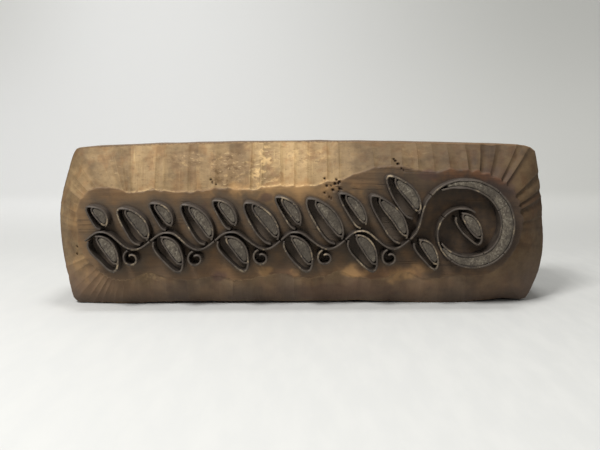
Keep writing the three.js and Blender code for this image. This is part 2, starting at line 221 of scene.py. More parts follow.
def add_numbers(mesh, key, values):
    """Gives each point of a mesh a number that its material can read."""
    layer = mesh.attributes.new(key, "FLOAT", "POINT")
    layer.data.foreach_set("value", np.asarray(values, np.float32))


def add_object(name, data):
    """A new object in the scene."""
    made = bpy.data.objects.new(name, data)
    bpy.context.scene.collection.objects.link(made)
    return made


def make_piece(name, points, faces, material, numbers=None):
    """A smooth-shaded mesh piece from points in millimetres, with any numbers that its material reads."""
    mesh = bpy.data.meshes.new(name)
    mesh.from_pydata((np.asarray(points) * MM).tolist(), [], faces)
    for key, values in (numbers or {}).items():
        add_numbers(mesh, key, values)
    mesh.polygons.foreach_set("use_smooth", [True] * len(mesh.polygons))
    mesh.materials.append(material)
    piece = add_object(name, mesh)
    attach(piece, "root")
    return piece


# Outlines of the strips and felts, in the plane of the printing face


def front_outlines(name):
    """The closed outlines of a solid's front face as arrays of (x, z), each with the material on its left."""
    mesh = frame["nodes"][name].data
    points = node_points(name)
    front = points[:, 1].min() + 0.01
    keys = [tuple(np.round(p[[0, 2]], 3)) for p in points]
    after = {}
    for face in mesh.polygons:
        corners = list(face.vertices)
        if all(points[v][1] < front for v in corners):
            for a, b in zip(corners, corners[1:] + corners[:1]):
                if keys[a] in after.get(keys[b], []):
                    after[keys[b]].remove(keys[a])
                else:
                    after.setdefault(keys[a], []).append(keys[b])
    outlines = []
    while any(after.values()):
        loop = [next(key for key, nexts in after.items() if nexts)]
        while (here := after[loop[-1]].pop()) != loop[0]:
            loop.append(here)
        outlines.append(np.array(loop))
    return sorted(outlines, key=lambda loop: -np.ptp(loop, axis=0).prod())


def turning(loop):
    """The angle in degrees by which a closed outline turns at each of its points."""
    into = loop - np.roll(loop, 1, axis=0)
    out = np.roll(loop, -1, axis=0) - loop
    cross = into[:, 0] * out[:, 1] - into[:, 1] * out[:, 0]
    return np.degrees(np.arctan2(cross, (into * out).sum(1)))


def spline(run, spacing, closed):
    """Points about a spacing apart on a smooth curve through a run of points, without its last point."""
    if closed:
        run = np.vstack([run[-1], run, run[:2]])
    else:
        run = np.vstack([2 * run[0] - run[1], run, 2 * run[-1] - run[-2]])
    made = []
    for before, start, end, after in zip(run, run[1:], run[2:], run[3:]):
        steps = max(1, round(float(np.linalg.norm(end - start)) / spacing))
        for s in np.arange(steps) / steps:
            bend = (2 * before - 5 * start + 4 * end - after) * s**2
            twist = (3 * start - before - 3 * end + after) * s**3
            made.append((2 * start + (end - before) * s + bend + twist) / 2)
    return made


SHARP_CORNER = 62  # the least angle in degrees by which an outline turns at a corner that stays sharp


def smoothed(loop, spacing):
    """A closed outline with its flats turned into curves, as points about a spacing apart."""
    gap = np.linalg.norm(loop - np.roll(loop, 1, axis=0), axis=1)
    loop = loop[gap > 0.02]
    corners = np.flatnonzero(np.abs(turning(loop)) > SHARP_CORNER)
    if len(corners) == 0:
        return np.array(spline(loop, spacing, closed=True))
    loop = np.roll(loop, -corners[0], axis=0)
    stops = [*(corners - corners[0]), len(loop)]
    runs = [np.vstack([loop[a:b], loop[b % len(loop)]]) for a, b in zip(stops, stops[1:])]
    return np.array([p for run in runs for p in spline(run, spacing, closed=False)])


def outward(loop):
    """Unit vectors out of the material at each point of an outline with the material on its left."""
    along = np.roll(loop, -1, axis=0) - np.roll(loop, 1, axis=0)
    along /= np.linalg.norm(along, axis=1)[:, None] + 1e-9
    return np.column_stack([along[:, 1], -along[:, 0]])


# The block. Its skin is laid out in columns, which run outwards along the gouge cuts from a line along the
# middle of the ground, and in rows, which run round the block.


def rays_from_core(places, half):
    """Where the ray at each place starts on the middle line, and the way it runs, both as (x, z)."""
    leg = np.floor(places).astype(int) % TURN
    share = places - np.floor(places)
    on_leg = [leg == FOOT, leg == RIGHT_END, leg == TOP]
    x = np.select(on_leg, [mix(-half, half, share), half, mix(half, -half, share)], -half)
    way = np.radians(np.select(on_leg, [-90, 180 * share - 90, 90], 180 * share + 90))
    return np.column_stack([x, np.full(len(x), CORE_HEIGHT)]), np.column_stack([np.cos(way), np.sin(way)])


def places_round_core(points, half):
    """The place round the block of each point (x, y, z), and how far out from the middle line it lies."""
    x, over = points[:, 0], points[:, 2] - CORE_HEIGHT
    beside = np.abs(x) - half
    angle = np.degrees(np.arctan2(over, beside))
    end = np.where(x > 0, RIGHT_END + (angle + 90) / 180, LEFT_END + (90 - angle) / 180)
    share = (x + half) / (2 * half)
    flat = np.where(over < 0, share, LEFT_END - share)
    return np.where(beside > 0, end, flat) % TURN, np.where(beside > 0, np.hypot(beside, over), np.abs(over))


def ring_between(wood, half, low, high):
    """Place, reach and depth of the solid's corners between two depths, in order of place."""
    near = wood[(wood[:, 1] > low) & (wood[:, 1] < high)]
    places, reaches = places_round_core(near, half)
    order = np.argsort(places)
    return places[order], reaches[order], near[order, 1]


def find_ridges(places):
    """The places of the ridges between the gouge cuts, from those of the solid's corners on them. The fan at
    the left end gets more ridges than the solid has."""
    ridges = places[np.append(True, np.diff(places) > 1e-4)]
    middles = (ridges + np.append(ridges[1:], ridges[0] + TURN)) / 2
    finer = (middles.astype(int) == LEFT_END) & (np.random.default_rng(5).random(len(middles)) > 0.4)
    return np.sort(np.append(ridges, middles[finer]))


# How far behind the ground the solid's corners along the foot of the step lie, and those of them on a ridge
STEP_FOOT = (0.9, 2.2)
RIDGE_FOOT = STOP_DROP + 0.1


def lay_columns(wood):
    """The columns of the block's skin, with what each knows of its gouge cut, of the rim of the ground and of
    the outer edge."""
    ground, back = wood[:, 1].min(), wood[:, 1].max()
    half = wood[:, 0].max().round() - CORE_INSET
    legs = [STRAIGHT_COLUMNS, END_COLUMNS] * 2
    place = np.concatenate([leg + np.arange(count) / count for leg, count in enumerate(legs)])
    leg = place.astype(int)
    share = place - leg
    fanned = (leg == RIGHT_END) | (leg == LEFT_END)

    low, high = (ground + depth for depth in STEP_FOOT)
    step_places, step_reaches, step_depth = ring_between(wood, half, low, high)
    on_ridge = step_depth < ground + RIDGE_FOOT
    ridges = find_ridges(step_places[on_ridge])

    # The column nearest to each ridge sways onto it, so that the ridge is sharp.
    away = (ridges[:, None] - place[None, :] + TURN / 2) % TURN - TURN / 2
    nearest = np.abs(away).argmin(1)
    sway = np.zeros(len(place))
    sway[nearest] = away[np.arange(len(ridges)), nearest]
    swayed = place + sway
    hair = 1e-6
    which = (np.searchsorted(ridges, swayed + hair) - 1) % len(ridges)
    width = (ridges[(which + 1) % len(ridges)] - ridges[which]) % TURN
    across = ((swayed + hair - ridges[which]) % TURN) / width

    def by_place(values):
        return np.interp(place, list(values), list(values.values()), period=TURN)

    # Each column reads its noise at a point well out along it, and its chances are those of its gouge cut.
    bold = by_place(CUT_BOLDNESS)
    base, way = rays_from_core(place, half)
    marks = np.insert(base + way * 25, 1, 0, axis=1)
    chances = np.random.default_rng(4).random((6, len(ridges)))[:, which]
    deep, second_start, second_chance, lean, facet, lopsided = chances
    right_fan = (place > 1.5) & (place < 2)
    skew = np.where(right_fan, 2.6, mix(0.7, 1.7, lopsided))
    bowl = 1 - np.abs(2 * across**skew - 1) ** 2.2
    rim = np.interp(swayed, step_places[on_ridge], step_reaches[on_ridge], period=TURN) - STOP_WIDTH
    nibbled = 0.25 * bumps(marks, 1.5, 5) + 0.5 * bumps(marks, 6, 6) + 0.9 * bumps(marks, 17, 7)
    chamfer = back - BACK_CHAMFER
    edge_places, edge_reaches, _ = ring_between(wood, half, chamfer - 0.3, chamfer + 0.3)
    worn = 0.25 * bumps(marks, 7, 8) - 0.4 * smooth(0.4, 0.9, bumps(marks, 3, 9)) - by_place(EDGE_WEAR)
    return SimpleNamespace(
        count=len(place),
        half=half,
        ground=ground,
        back=back,
        place=place,
        sway=sway,
        marks=marks,
        on_ridge=np.isin(np.arange(len(place)), nearest),
        across=across,
        bowl=bowl,
        bold=bold,
        deep=deep,
        second_start=second_start,
        second_chance=second_chance,
        lean=lean,
        facet=facet,
        tone=by_place(PARING_TONE_AND_LIGHT),
        slant=np.where(fanned, 0, np.sin(np.pi * share) * 1.6 * bumps(marks, 11, 3)),
        rim=rim - 0.7 * SCALLOP * bold * bowl - nibbled,
        edge=np.interp(place, edge_places, edge_reaches, period=TURN),
        edge_drop=mix(EDGE_DROP, FOOT_DROP, np.maximum(0, -way[:, 1]) ** 4),
        worn=worn,
        back_worn=0.2 * bumps(marks, 11, 10) - 0.3 * smooth(0.5, 0.9, bumps(marks, 4, 11)),
        length=np.where(fanned, np.pi * CORE_INSET, 2 * half) * share + leg * 2 * half,
    )


# The kinds of row, from the middle of the ground outwards and round to the middle of the back
GROUND, STEP, PARING, SIDE, BACK = range(5)


def lay_rows(c):
    """The rows of the block's skin. Each has its reach from the middle line, its depth, its kind, its share
    of the way over that kind, and how much of its column's sway and slant it takes."""
    level = np.ones(c.count)
    stop = STOP_DROP * mix(0.3, 1, np.minimum(1, c.bold))
    rows = []
    for i in range(GROUND_ROWS):
        share = (i + 1) / GROUND_ROWS
        rows.append((mix(0, c.rim - 0.5, share**0.9), level * c.ground, GROUND, share, share**4, 0))
    chip = 0.5 * np.maximum(0, bumps(c.marks, 1.1, 12))
    rows.append((c.rim - 0.2, c.ground + 0.05 + 0.6 * chip, GROUND, 1, 1, 0))
    rows.append((c.rim, c.ground + 0.22 + chip, STEP, 0, 1, 0))
    rows.append((c.rim + 0.3 * STOP_WIDTH, c.ground + 0.6 * stop + 0.4 * chip, STEP, 0.5, 1, 0))

    # Each cut is a bowl that leans a little. Some have a second cut in them that starts further out.
    depth = CUT_DEPTH * c.bold * mix(0.4, 1.3, c.deep)
    second_start = mix(0.25, 0.85, c.second_start)
    second = 0.3 * c.bold * (c.second_chance > 0.45) * np.clip(1.3 * c.bowl - 0.3, 0, 1)
    lean = 0.8 * c.bold * (c.lean - 0.5) * (c.across - 0.5)
    for i in range(PARING_ROWS):
        share = i / (PARING_ROWS - 1)
        line = mix(stop, c.edge_drop, share) - 4 * PARING_BELLY * share * (1 - share)
        cut = depth * c.bowl * mix(1, 0.75, share) + second * smooth(0, 0.04, share - second_start) + lean
        reach = mix(c.rim + STOP_WIDTH, c.edge + c.worn - 0.7, share)
        rows.append((reach, c.ground + line + cut, PARING, share, 1, share))

    arris = c.ground + c.edge_drop + 0.75 * depth * c.bowl + lean
    chamfer = c.back - BACK_CHAMFER
    rows.append((c.edge + c.worn - 0.22, arris + 0.32, SIDE, 0, 1, 1))
    for i in range(SIDE_ROWS + 1):
        share = i / SIDE_ROWS
        fade = (1 - share) ** 2
        reach = c.edge + c.worn * fade**2 + c.back_worn * share**8
        rows.append((reach, mix(arris + 0.95, chamfer, share), SIDE, share, fade, fade))
    rows.append((c.edge + c.back_worn - 0.3, level * chamfer + 0.7, SIDE, 1, 0, 0))
    rows.append((c.edge + c.back_worn - BACK_CHAMFER + 0.5, level * c.back - 0.35, BACK, 0, 0, 0))
    for i in range(BACK_ROWS):
        share = i / BACK_ROWS
        rows.append((mix(c.edge - BACK_CHAMFER - 0.4, 0, share), level * c.back, BACK, share, 0, 0))
    return rows


def join_skin(c, rows):
    """The points and faces of the block: its columns in order, and after them a line of points along the
    middle of the ground and one along the middle of the back."""
    skin = []
    for reach, depth, _, _, sway, slant in rows:
        base, way = rays_from_core((c.place + c.sway * sway) % TURN, c.half)
        flat = base + way * reach[:, None]
        skin.append(np.column_stack([flat[:, 0] + c.slant * slant, depth, flat[:, 1]]))
    points = np.stack(skin, axis=1).reshape(-1, 3)
    along = np.linspace(-c.half, c.half, STRAIGHT_COLUMNS + 1)
    middle = np.column_stack([along, 0 * along, 0 * along + CORE_HEIGHT])
    points = np.vstack([points, middle + [0, c.ground, 0], middle + [0, c.back, 0]])

    count = len(rows)
    first = c.count * count
    leg = c.place.astype(int)
    step = np.round((c.place - leg) * STRAIGHT_COLUMNS).astype(int)
    on_leg = [leg == FOOT, leg == RIGHT_END, leg == TOP]
    core = np.select(on_leg, [step, STRAIGHT_COLUMNS, STRAIGHT_COLUMNS - step], 0)

    def column(a):
        """The points of a column, with the ones on the middle lines at which it begins and ends."""
        return [first + core[a], *range(a * count, (a + 1) * count), first + len(along) + core[a]]

    faces = []
    for a in range(c.count):
        here, there = column(a), column((a + 1) % c.count)
        for near, far, far_beside, near_beside in zip(here, here[1:], there[1:], there):
            corners = dict.fromkeys(map(int, (near, far, far_beside, near_beside)))
            faces.append(tuple(corners))
    return points, faces


def worm_holes():
    """Where the woodworm has bored the front of the block: (x, z) and a radius for each hole."""
    chance = np.random.default_rng(11)
    holes = []
    for centre, spread, number in WORM_CLUSTERS:
        for _ in range(number):
            x, z = np.array(centre) + chance.normal(0, spread / 2, 2)
            holes.append((x, z, chance.uniform(*WORM_RADIUS)))
    return holes


def patches(points, places, seed):
    """How much each point belongs to one of the ragged patches at some places, seen from the front."""
    total = np.zeros(len(points))
    for (x, z), (along, up), strength in places:
        away = np.hypot((points[:, 0] - x) / along, (points[:, 2] - z) / up)
        total = np.maximum(total, strength * smooth(1.15, 0.5, away + 0.4 * layered(points, 5, seed)))
    return total


def near_strips(points, outlines):
    """How far each point lies from the nearest strip, seen from the front."""
    marks = np.vstack(outlines)
    tree = kdtree.KDTree(len(marks))
    for i, (x, z) in enumerate(marks):
        tree.insert((x, 0, z), i)
    tree.balance()
    return np.array([tree.find((x, 0, z))[2] for x, _, z in points])


def depth_in_hulls(points, outlines):
    """How far each point lies inside the hull of an outline, seen from the front, or below 0 outside them."""
    flat = points[:, [0, 2]]
    deepest = np.full(len(points), -99.0)
    for outline in outlines:
        hull = outline[geometry.convex_hull_2d([Vector(place) for place in outline])]
        side = np.roll(hull, -1, axis=0) - hull
        out = np.column_stack([side[:, 1], -side[:, 0]]) / np.linalg.norm(side, axis=1)[:, None]
        if (hull * np.roll(out, 1, axis=0)).sum() < 0:
            out = -out
        beyond = flat @ out.T - (hull * out).sum(1)
        deepest = np.maximum(deepest, -beyond.max(1))
    return deepest


def lay_skin(c, rows):
    """The skin of the block: its points and faces, the kind of row that each point is on and its share of the
    way over it, and a function that spreads numbers for the columns over the points."""
    points, faces = join_skin(c, rows)
    middle = STRAIGHT_COLUMNS + 1

    def on_points(values):
        return np.append(values, np.zeros(2 * middle))

    kind = on_points(np.tile([row[2] for row in rows], c.count))
    kind[-middle:] = BACK
    return SimpleNamespace(
        points=points,
        faces=faces,
        kind=kind,
        share=on_points(np.tile([row[3] for row in rows], c.count)),
        ground=kind == GROUND,
        paring=kind == PARING,
        front=kind <= PARING,
        outer=kind >= SIDE,
        spread=lambda values: on_points(np.repeat(values, len(rows))),
    )


def weather(s, c):
    """Moves the points of the skin as the hand, the gouge and the worm left them, and notes where."""
    points = s.points

    # The front in depth
    wave = 0.12 * bumps(points, 14, 21) + 0.05 * bumps(points * [0.4, 1, 1], 2.2, 22)
    s.bruised = patches(points, BRUISES, 24) * s.paring
    s.ragged = patches(points, RAGS, 25) * s.paring
    tear = (s.bruised + s.ragged) * np.abs(bumps(points * [0.5, 1, 1], 1.5, 24))
    streak = bumps(np.column_stack([s.spread(c.length)] * 3) * [1, 0, 0], 1.3, 25)
    points[:, 1] += np.where(s.kind <= STEP, wave, 0)
    points[:, 1] += np.where(s.paring, 0.5 * wave + 0.35 * tear + 0.06 * streak, 0)

    # The sides outwards, and the back in depth
    out = points - np.clip(points, [-c.half, -99, CORE_HEIGHT], [c.half, 99, CORE_HEIGHT])
    out[:, 1] = 0
    out /= np.linalg.norm(out, axis=1)[:, None] + 1e-9
    rough = 0.14 * bumps(points, 18, 26) + 0.06 * bumps(points * [0.3, 1, 1], 3, 27)
    fade = np.sin(np.pi * np.clip(s.share, 0, 1))
    points += out * (rough * (s.kind == SIDE) * fade)[:, None]
    points[:, 1] -= np.where(s.kind == BACK, 0.15 + 0.12 * bumps(points, 25, 28), 0) * (s.share > 0)
    s.end = smooth(0.55, 0.9, np.abs(out[:, 0])) * (s.kind == SIDE)

    # The worm holes
    s.hole = np.zeros(len(points))
    for x, z, radius in worm_holes():
        away = np.hypot(points[:, 0] - x, points[:, 2] - z)
        s.hole = np.maximum(s.hole, smooth(radius * 1.15, radius * 0.7, away) * s.front)
    points[:, 1] += WORM_DEPTH * s.hole
    points[:, 2] = np.maximum(points[:, 2], 0)


def dye_numbers(s, strip_outlines, cell_outlines, scroll_outlines, pale, warm):
    """How much dye each point has taken, which inside the cells also serves as painted shade, how near it is to
    a strip, as painted contact shade, and how much painted fill light it gets in a cell.
    """
    distance = np.where(s.outer, 99, near_strips(s.points, strip_outlines))
    inside = np.where(s.outer, 0, smooth(-0.2, 1.2, depth_in_hulls(s.points, cell_outlines)))
    further = np.where(s.paring, DYE_SPREAD_ON_PARING, DYE_SPREAD_ON_GROUND)
    reach = DYE_REACH + further * smooth(15, 65, s.points[:, 0])
    ink = smooth(reach, 0.3, distance + 1.6 * layered(s.points, 5, 33)) * np.where(s.paring, 0.3, 0.95)
    ink = ink * (1 - 0.7 * pale) * (1 - 0.5 * warm)
    # Inside the cells the ink is full: dye, and painted shade in the hollows too.
    ink = np.maximum(ink, np.where(s.paring, 0, inside))
    in_scroll = smooth(-3, 2, depth_in_hulls(s.points, scroll_outlines))
    return {
        "ink": np.maximum(ink, 0.95 * in_scroll * s.ground),
        # gap: painted contact shade on the wood next to each strip
        "gap": smooth(1.2, 0.4, distance) * (1 - inside),
        # cell: painted fill light on the floor of each cell
        "cell": inside * s.ground,
    }


def gouge_numbers(s, c):
    """What the gouge left at each point: how pale it is, partly as painted light, and its place in its cut;
    with a painted highlight along the rim, some ridges and the arris, and painted shade with dirt in the
    grooves.
    """
    tone = s.spread(c.tone)
    tone = np.where(s.ground, mix(0.3, tone, s.share**2), tone)
    # A painted highlight along some ridges of the paring, along the step of the rim and along the arris.
    ridge = s.spread(np.abs(2 * c.across - 1) ** 8 * smooth(0.55, 0.85, c.tone))
    rim = np.where(s.paring, 0.5 * ridge, 0)
    rim = np.maximum(rim, np.where(s.kind == STEP, smooth(0.2, 0.8, tone), 0))
    arris = (s.kind == SIDE) & (s.share < 0.03)
    return {
        "tone": tone,
        "rim": np.maximum(rim, np.where(arris, 0.5 * smooth(0.2, 0.6, tone), 0)),
        "paring": np.where(s.paring, 1, 0) + np.where(s.kind == STEP, 0.6, 0),
        # Painted shade with some dirt in the grooves between the cuts of the right end.
        "groove_dirt_and_shade": s.spread(smooth(0.72, 0.9, c.across) * smooth(0.9, 1.4, c.bold)) * s.paring,
        "facet": s.spread((2 * c.facet - 1) * mix(0.3, 1, c.bold)) * s.paring,
        "cut_across": s.spread(c.length),
        "cut_along": s.points[:, 1],
    }


def make_block(material, strip_outlines, cell_outlines, scroll_outlines):
    """The block, with the finer carving that the solid leaves out."""
    c = lay_columns(node_points("wood_block"))
    rows = lay_rows(c)
    s = lay_skin(c, rows)
    weather(s, c)
    pale = patches(s.points, PALE, 38) * s.front
    warm = patches(s.points, WARM, 36) * s.front
    piece = make_piece("wood_body", s.points, s.faces, material, {
        **gouge_numbers(s, c),
        **dye_numbers(s, strip_outlines, cell_outlines, scroll_outlines, pale, warm),
        "pale": pale,
        "warm": warm,
        "stain": patches(s.points, STAINS, 31) * s.front,
        "bruised": s.bruised,
        "ragged": s.ragged,
        "hole": s.hole,
        "end": s.end,
        "outer": s.outer,
        # low: darker towards the bottom, half as much on the ground; painted shade with some grime.
        "low": smooth(30, 8, s.points[:, 2] + 4 * layered(s.points, 12, 35)) * np.where(s.ground, 0.5, 1),
    })
    mark_ridges(piece.data, c, rows)
    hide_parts("wood_block")


def mark_ridges(mesh, c, rows):
    """Marks the ridges between the gouge cuts as sharp."""
    count = len(rows)
    in_cut = np.array([row[2] in (STEP, PARING) for row in rows])
    ends = np.empty(len(mesh.edges) * 2, int)
    mesh.edges.foreach_get("vertices", ends)
    ends = ends.reshape(-1, 2)
    inside = (ends < c.count * count).all(1)
    column, row = np.divmod(np.where(inside[:, None], ends, 0), count)
    same = column[:, 0] == column[:, 1]
    sharp = inside & same & in_cut[row].all(1) & c.on_ridge[column[:, 0]]
    mesh.attributes.new("sharp_edge", "BOOLEAN", "EDGE").data.foreach_set("value", sharp)


# The strips and the felt

PROUD = 9.0  # how far the strips stand out of the ground
LEAN = 0.12  # of the strips at the ground
LEAN_GROWTH = 0.3  # from there to the printing edge


def leaned(points, ground):
    """Points with the slight lean that years of stamping gave the strips."""
    height = np.maximum(0, ground - points[:, 1]) / PROUD
    flat = points * [1, 0, 1]
    push = LEAN + LEAN_GROWTH * height**1.5
    shift = [bumps(flat, 14, seed) + 0.5 * bumps(flat, 6, seed) for seed in (41, 42)]
    return points + np.column_stack([push * shift[0], 0 * push, push * shift[1]])


# Each level of a strip between its root, 0, and its printing edge, 1, and how far it is drawn in there
STRIP_LEVELS = [
    (0, 0), (0.32, 0), (0.41, 0), (0.52, 0), (0.63, 0), (0.74, 0), (0.84, 0), (0.92, 0), (0.965, 0),
    (0.99, 0.02), (1, 0.13),
]
DENT = 0.035


def make_strip(name, outlines, material, ground):
    """A strip, with its flats bent into curves and its printing edge worn."""
    points = node_points(name)
    front, root = points[:, 1].min(), points[:, 1].max()
    loops = [smoothed(outline, 0.45) for outline in outlines]
    flat = np.vstack(loops)
    out = np.vstack([outward(loop) for loop in loops])
    marks = np.insert(flat, 1, 0, axis=1)
    worn = 0.1 + 0.08 * bumps(marks, 8, 43) + 0.05 * bumps(marks, 1.6, 44)
    dented = DENT * bumps(marks, 2.5, 45)
    made, rise = [], []
    for share, inset in STRIP_LEVELS:
        drawn_in = inset + dented * (0.4 < share < 0.99)
        place = flat - out * drawn_in[:, None]
        depth = mix(root, front + worn, share)
        made.append(np.column_stack([place[:, 0], depth, place[:, 1]]))
        rise.append((ground - depth) / (ground - front))

    count, levels = len(flat), len(STRIP_LEVELS)
    faces, first = [], 0
    for loop in loops:
        here = first + np.arange(len(loop))
        there = np.roll(here, -1)
        for level in range(levels - 1):
            low, high = level * count, (level + 1) * count
            faces += np.column_stack([here + low, there + low, there + high, here + high]).tolist()
        first += len(loop)
    caps = geometry.tessellate_polygon([[Vector((x, z, 0)) for x, z in loop] for loop in loops])
    top = (levels - 1) * count
    for a, b, c in caps:
        side = np.cross(flat[b] - flat[a], flat[c] - flat[a])
        a, b, c = (a, b, c) if side > 0 else (a, c, b)
        faces += [(a + top, b + top, c + top), (a, c, b)]

    copper_name = name.replace("_strip", "_copper") if "_strip" in name else name + "_copper"
    points = leaned(np.vstack(made), ground)
    piece = make_piece(copper_name, points, faces, material, {"rise": np.concatenate(rise)})
    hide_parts(name)


FELT_VOXEL = 0.33
FELT_GROWTH = 0.24  # into the clearance round the solid
FELT_CROWN = 0.25  # how far the felt's face falls off towards the strips
FELT_SHOULDER = 2.1  # how far from the strips it begins to fall off
FELT_RISE = 0.2  # of the middle of its face, over the solid
FELT_FUZZ = ((3.0, 0.16), (1.1, 0.12), (0.5, 0.07))  # size and height of its unevenness


def remesh(piece, voxel):
    """Gives a piece an even skin of small faces, and returns its new mesh."""
    modifier = piece.modifiers.new("remesh", "REMESH")
    modifier.mode = "VOXEL"
    modifier.voxel_size = voxel * MM
    bpy.context.view_layer.update()
    mesh = bpy.data.meshes.new_from_object(piece.evaluated_get(bpy.context.evaluated_depsgraph_get()))
    piece.modifiers.clear()
    piece.data = mesh
    return mesh


def make_felt(name, outlines, material, ground):
    """A felt, crowned between its strips, with a fibrous face."""
    points = node_points(name)
    front, root = points[:, 1].min(), points[:, 1].max()
    loop = smoothed(outlines[0], 0.4)
    loop = loop + outward(loop) * FELT_GROWTH
    count = len(loop)
    prism = [np.column_stack([loop[:, 0], np.full(count, y), loop[:, 1]]) for y in (root, front)]
    here = np.arange(count)
    there = np.roll(here, -1)
    faces = np.column_stack([here, there, there + count, here + count]).tolist()
    faces += [tuple(here[::-1]), tuple(here + count)]
    rough = make_piece(name.replace("_felt", "_pad"), np.vstack(prism), faces, material)

    mesh = remesh(rough, FELT_VOXEL)
    place, normals = read_points(mesh) / MM, read_points(mesh, "normal")
    away = near_strips(place, [loop])
    face = smooth(front + 2.5, front, place[:, 1])
    place[:, 1] += face * (FELT_CROWN * np.clip(1 - away / FELT_SHOULDER, 0, 1) ** 2 - FELT_RISE)
    fuzz = sum(height * bumps(place, size, 46 + i) for i, (size, height) in enumerate(FELT_FUZZ))
    place += normals * (fuzz * mix(0.3, 1, face) - 0.03)[:, None]
    mesh.vertices.foreach_set("co", (leaned(place, ground) * MM).ravel())
    mesh.polygons.foreach_set("use_smooth", [True] * len(mesh.polygons))
    # edge: painted shade along the sides of the felt, next to its strips.
    add_numbers(mesh, "edge", smooth(1.2, 0.2, away))
    mesh.update()
    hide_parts(name)


# Materials


class Paint:
    """A material, with a short call for each kind of node that it needs. Places are in millimetres."""

    def __init__(self, name):
        self.material = bpy.data.materials.new(name)
        self.material.use_nodes = True
        self.tree = self.material.node_tree
        self.shader = self.tree.nodes["Principled BSDF"]
        coordinates = self.tree.nodes.new("ShaderNodeTexCoord")
        self.place = self.stretched(coordinates.outputs["Object"], (1 / MM,) * 3)

    def put(self, socket, value):
        if isinstance(value, bpy.types.NodeSocket):
            self.tree.links.new(value, socket)
        else:
            socket.default_value = value

    def node(self, kind, inputs, **settings):
        """A new node, with values or sockets put into its inputs."""
        made = self.tree.nodes.new("ShaderNode" + kind)
        for key, value in settings.items():
            setattr(made, key, value)
        for key, value in inputs.items():
            self.put(made.inputs[key], value)
        return made

    def stretched(self, place, by):
        return self.node("VectorMath", {0: place, 1: by}, operation="MULTIPLY").outputs[0]

    def attribute(self, name):
        return self.node("Attribute", {}, attribute_name=name).outputs["Fac"]

    def noise(self, place, size, detail=3.0, rough=0.55):
        inputs = {"Vector": place, "Scale": 1 / size, "Detail": detail, "Roughness": rough}
        return self.node("TexNoise", inputs).outputs["Fac"]

    def streaked(self, by, size, detail=3.0, rough=0.55):
        """Noise that is drawn out along the axes where by is below 1."""
        return self.noise(self.stretched(self.place, by), size, detail, rough)

    def calc(self, operation, a, b=0.0, c=0.0):
        return self.node("Math", {0: a, 1: b, 2: c}, operation=operation).outputs[0]

    def scaled(self, value, by, plus):
        return self.calc("MULTIPLY_ADD", value, by, plus)

    def times(self, *factors):
        total = factors[0]
        for factor in factors[1:]:
            total = self.calc("MULTIPLY", total, factor)
        return total

    def ramp(self, low, high, value):
        """0 where value is low or beyond it, 1 where it is high, and an even curve between."""
        inputs = {
            "Value": value,
            "From Min": min(low, high),
            "From Max": max(low, high),
            "To Min": 1.0 if low > high else 0.0,
            "To Max": 0.0 if low > high else 1.0,
        }
        return self.node("MapRange", inputs, interpolation_type="SMOOTHSTEP").outputs["Result"]

    def blend(self, share, low, high, how="MIX"):
        """A colour a share of the way from low to high. Each is a socket, or a colour as srgb takes it."""
        low, high = (srgb(*colour) if isinstance(colour, tuple) else colour for colour in (low, high))
        return self.node("Mix", {0: share, 6: low, 7: high}, data_type="RGBA", blend_type=how).outputs[2]

    def part(self, place, axis):
        return self.node("SeparateXYZ", {0: place}).outputs[axis]

    def joined(self, x, y, z):
        return self.node("CombineXYZ", {0: x, 1: y, 2: z}).outputs[0]

    def relief(self, height, depth):
        """Bumps of the surface: height is a number, and depth is what a height of 1 is in millimetres."""
        bump = self.node("Bump", {"Height": height, "Distance": depth * MM})
        self.put(self.shader.inputs["Normal"], bump.outputs[0])


def growth_rings(p):
    """Growth rings: long lines along the block, and arcs on its ends."""
    away = p.calc("SUBTRACT", p.part(p.place, 1), PITH_Y)
    up = p.calc("SUBTRACT", p.part(p.place, 2), PITH_Z)
    reach = p.calc("SQRT", p.calc("ADD", p.times(away, away), p.times(up, up)))
    wander = p.streaked((0.12, 1, 1), 45, 2)
    phase = p.calc("FRACT", p.scaled(wander, 9, p.times(reach, 1 / RING_WIDTH)))
    dark = p.times(p.ramp(0.3, 0.9, phase), p.ramp(1.0, 0.92, phase))
    return p.times(dark, p.ramp(0.3, 0.6, p.streaked((0.2, 1, 1), 12, 2)))


def cracks(p, paring):
    """Fine cracks along the grain of the ground, where it has dried out."""
    wander = p.streaked((0.03, 1, 1), 2.5, 1)
    line = p.ramp(0.02, 0.006, p.calc("ABSOLUTE", p.calc("SUBTRACT", wander, 0.5)))
    dry = p.ramp(0.57, 0.63, p.streaked((0.4, 1, 1), 9, 2))
    return p.times(line, dry, p.ramp(0.5, 0, paring), p.ramp(0.5, 0, p.attribute("end")))


def ground_colour(p, tone, patch):
    """The flat ground: brown in blotches, pale or dark by its tone, which near its rim carries the paring's
    painted light, and warm where the dye reddened it.
    """
    blotch = p.streaked((0.5, 1, 1), 16, 3)
    colour = p.blend(p.ramp(0.35, 0.65, blotch), (106, 86, 64), (130, 100, 68))
    colour = p.blend(p.times(p.ramp(0.45, 0.65, patch), 0.5), colour, (96, 78, 60))
    colour = p.blend(p.ramp(0.35, 1.0, tone), colour, (172, 140, 98))
    colour = p.blend(p.ramp(0.15, -0.1, tone), colour, (92, 73, 56))
    return p.blend(p.times(p.attribute("warm"), 0.6), colour, (138, 92, 56))


